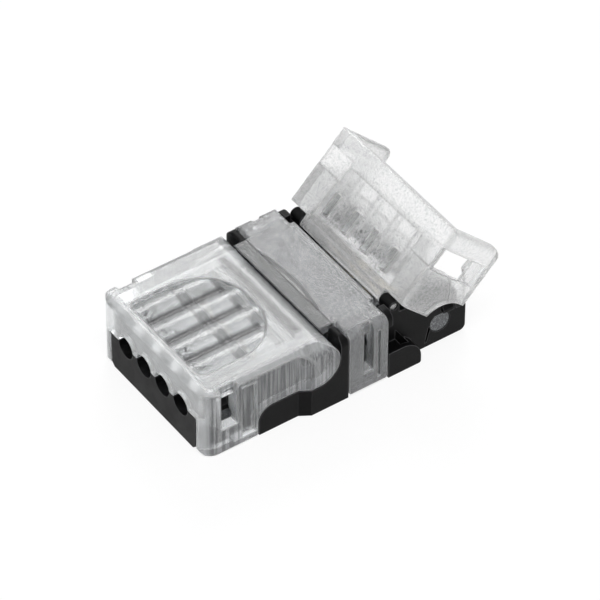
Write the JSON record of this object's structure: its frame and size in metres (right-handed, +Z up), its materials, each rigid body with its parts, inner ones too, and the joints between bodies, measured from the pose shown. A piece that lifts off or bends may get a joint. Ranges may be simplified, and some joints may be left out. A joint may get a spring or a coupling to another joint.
{
  "type": "led strip connector",
  "caption": "Solderless connector that joins wires to a flat LED strip, with hinged clear covers at both ends over a black shell.",
  "frame": {"origin": "centre of the shell's flat underside, half way between its two ends", "axes": "+X from the wire end to the strip end, +Y across the row of contacts, +Z up out of the underside"},
  "size_m": [0.0271, 0.0154, 0.0117],
  "materials": {
    "black_shell": "satin black, moulded",
    "natural_carrier": "natural, moulded",
    "clear_cover": "clear, frosted on the inner faces",
    "contact_metal": "stamped, bright"
  },
  "bodies": {
    "shell": {"base_shell": "black_shell", "contact_carrier": "natural_carrier", "middle_cover": "clear_cover", "contact_1": "contact_metal", "contact_2": "contact_metal", "contact_3": "contact_metal", "contact_4": "contact_metal"},
    "wire_lid": {"wire_cover": "clear_cover"},
    "strip_lid": {"strip_cover": "clear_cover"}
  },
  "joints": [
    {"name": "wire_cover_hinge", "type": "hinge", "parent": "shell", "child": "wire_lid", "pos_m": [-0.0023, 0, 0.00464], "axis": [0, 1, 0], "range_deg": [0, 70]},
    {"name": "strip_cover_hinge", "type": "hinge", "parent": "shell", "child": "strip_lid", "pos_m": [0.00549, 0, 0.00595], "axis": [0, -1, 0], "range_deg": [-45, 40]}
  ]
}
